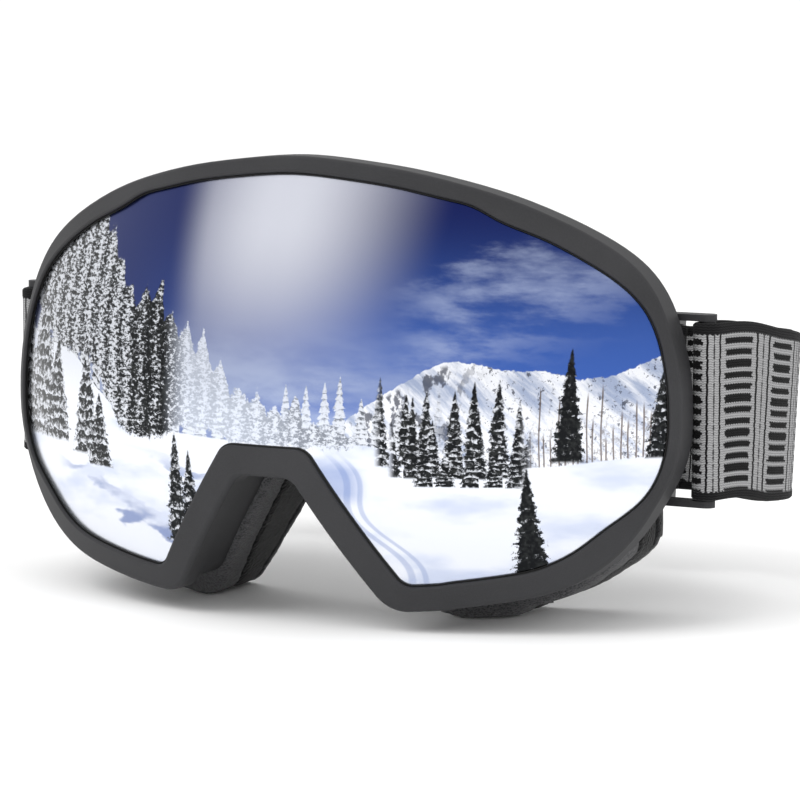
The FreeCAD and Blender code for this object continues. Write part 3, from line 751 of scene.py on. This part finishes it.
def stitches(sewn, thread):
    """Two zigzag bar tacks across each sewn end, on the side next to the head."""
    face = sewn[-1][0].y - STRAP_THICK / 2 - TACK_PROUD
    for hand, flip in (("right", 1), ("left", -1)):
        mesh = bpy.data.meshes.new("tack_stitches_" + hand)
        form = bmesh.new()
        for column in TACK_COLUMNS:
            zig = []
            for i in range(TACK_TURNS * 2 + 1):
                z = (i / TACK_TURNS - 1.0) * TACK_HALF
                swing = TACK_SWING if i % 2 else -TACK_SWING
                zig.append(hung(flip * (PIN_X + column + swing), face, z))
            thread_tube(form, zig, THREAD_RADIUS * MM)
        bmesh.ops.recalc_face_normals(form, faces=form.faces)
        form.to_mesh(mesh)
        form.free()
        piece = bpy.data.objects.new("tack_stitches_" + hand, mesh)
        bpy.context.scene.collection.objects.link(piece)
        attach(piece, "slider_" + hand)
        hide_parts("bar_tack_" + hand)
        dressed(piece, thread)


def thread_tube(form, spots, radius):
    """A tube through the spots, with its two ends closed."""
    rings = []
    for i, spot in enumerate(spots):
        ahead = (spots[min(i + 1, len(spots) - 1)] - spots[max(i - 1, 0)]).normalized()
        side = ahead.cross(Vector((0, 1, 0))).normalized()
        lift = side.cross(ahead)
        turns = [k * 2 * math.pi / THREAD_SIDES for k in range(THREAD_SIDES)]
        rings.append([form.verts.new(spot + (side * math.cos(a) + lift * math.sin(a)) * radius)
                      for a in turns])
    for a, b in zip(rings, rings[1:]):
        for k in range(THREAD_SIDES):
            after = (k + 1) % THREAD_SIDES
            form.faces.new((a[k], a[after], b[after], b[k])).smooth = True
    form.faces.new(rings[0])
    form.faces.new(reversed(rings[-1]))


# ---- Foam ----------------------------------------------------------------
def foam_piece(name, node, material, voxel, rounds, swell):
    """A foam part with soft, rounded edges: its solid remeshed, relaxed, let swell
    back to size, and left slightly uneven."""
    source = frame["nodes"][node]
    mesh = source.data.copy()
    mesh.transform(source.matrix_world)
    piece = bpy.data.objects.new(name, mesh)
    bpy.context.scene.collection.objects.link(piece)
    coarse = piece.modifiers.new("voxels", "REMESH")
    coarse.mode = "VOXEL"
    coarse.voxel_size = voxel * MM
    coarse.use_smooth_shade = True
    relax = piece.modifiers.new("relax", "SMOOTH")
    relax.factor, relax.iterations = 0.5, rounds
    graph = bpy.context.evaluated_depsgraph_get()
    made = bpy.data.meshes.new_from_object(piece.evaluated_get(graph))
    piece.modifiers.clear()
    piece.data = made
    made.name = name
    for vertex, normal in zip(made.vertices, [v.normal.copy() for v in made.vertices]):
        at = vertex.co / MM
        uneven = 0.16 * noise.noise(at * 0.11) + 0.06 * noise.noise(at * 0.6)
        vertex.co = vertex.co + normal * ((swell + uneven) * MM)
    for polygon in made.polygons:
        polygon.use_smooth = True
    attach(piece, "frame")
    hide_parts(node)
    dressed(piece, material)


def foams():
    """Every foam part."""
    grey = cell_foam("grey_felted_foam", rgb(46, 46, 48), rgb(84, 84, 86), 1900.0, 0.0005)
    black = cell_foam("black_open_foam", rgb(3, 3, 3), rgb(26, 26, 27), 1300.0, 0.0007)
    vent = cell_foam("reticulated_vent_foam", rgb(2, 2, 2), rgb(40, 40, 42), 900.0, 0.0010)
    tape = cell_foam("closed_cell_tape", rgb(8, 8, 8), rgb(24, 24, 24), 2600.0, 0.0002)
    thick = 1.25
    fine = 0.8
    foam_piece("grey_foam_layer", "foam_base", grey, thick, 5, 0.25)
    foam_piece("black_foam_layer", "foam_core", black, thick, 5, 0.25)
    foam_piece("fleece_face", "face_fleece", brushed_fleece(), fine * 1.1, 3, 0.2)
    foam_piece("vent_pads_top", "vent_foam_top", vent, fine * 0.8, 2, 0.12)
    foam_piece("vent_pads_bottom", "vent_foam_bottom", vent, fine * 0.8, 2, 0.12)
    foam_piece("lens_spacer_tape", "lens_spacer", tape, fine, 2, 0.05)


# ---- Stage ---------------------------------------------------------------
def world_light():
    world = bpy.data.worlds.new("studio")
    bpy.context.scene.world = world
    world.use_nodes = True
    background = world.node_tree.nodes["Background"]
    background.inputs["Color"].default_value = (1.0, 1.0, 1.0, 1.0)
    background.inputs["Strength"].default_value = 1.05


def floor():
    half = FLOOR_HALF
    mesh = bpy.data.meshes.new("floor")
    mesh.from_pydata([(-half, -half, 0), (half, -half, 0), (half, half, 0), (-half, half, 0)],
                     [], [(0, 1, 2, 3)])
    piece = bpy.data.objects.new("floor", mesh)
    piece.location.z = CAD_BOX[0][2] - FLOOR_DROP
    bpy.context.scene.collection.objects.link(piece)
    f = Finish("pale_floor")
    at, _ = f.place()
    base = f.mix(f.noise(at, 4.0), (0.95, 0.95, 0.95), (0.98, 0.98, 0.98))
    mesh.materials.append(f.wear(base=base, roughness=0.7, specular=0.2))


def softbox(name, at, aim, size, power):
    """A soft lamp that points at aim, and that glossy surfaces don't show."""
    light = bpy.data.lights.new(name, "AREA")
    light.shape = "RECTANGLE"
    light.size, light.size_y = size
    light.energy = power
    lamp = bpy.data.objects.new(name, light)
    lamp.location = at
    lamp.visible_glossy = False
    lamp.rotation_euler = (Vector(aim) - Vector(at)).to_track_quat("-Z", "Y").to_euler()
    bpy.context.scene.collection.objects.link(lamp)


def camera():
    data = bpy.data.cameras.new("camera")
    data.sensor_width = SENSOR_WIDTH
    data.lens = FOCAL_LENGTH
    data.clip_start = 0.01
    eye = bpy.data.objects.new("camera", data)
    right, up = Vector(CAMERA_RIGHT), Vector(CAMERA_UP)
    back = right.cross(up)
    turn = Matrix((right, up, back)).transposed().to_4x4()
    eye.matrix_world = Matrix.Translation(CAMERA_AT) @ turn
    bpy.context.scene.collection.objects.link(eye)
    bpy.context.scene.camera = eye


def finish_node(name, material):
    """Gives a CAD node its material."""
    node = frame["nodes"][name]
    node.data.materials.clear()
    node.data.materials.append(material)


def main():
    plastic = black_acetal()
    hard = {"frame": moulded_charcoal(), "outer_lens": painted_mirror_reflection(),
            "inner_lens": smoked_acetate(), "lens_gasket": black_seal(),
            "strap_grip": printed_silicone(), "slider_right": plastic, "slider_left": plastic}
    for name, material in hard.items():
        finish_node(name, material)
    foams()
    inner, outer, sewn = strap_runs()
    strap(inner, outer, sewn, jacquard_webbing())
    stitches(sewn, polyester_thread())
    world_light()
    floor()
    softbox("key", (-0.5, -0.9, 1.1), (0, 0, 0.05), (0.9, 0.9), 9.0)
    softbox("fill", (1.2, -0.5, 0.7), (0, 0, 0.05), (0.8, 0.8), 4.0)
    camera()
    bpy.context.scene.view_settings.view_transform = "Standard"


main()
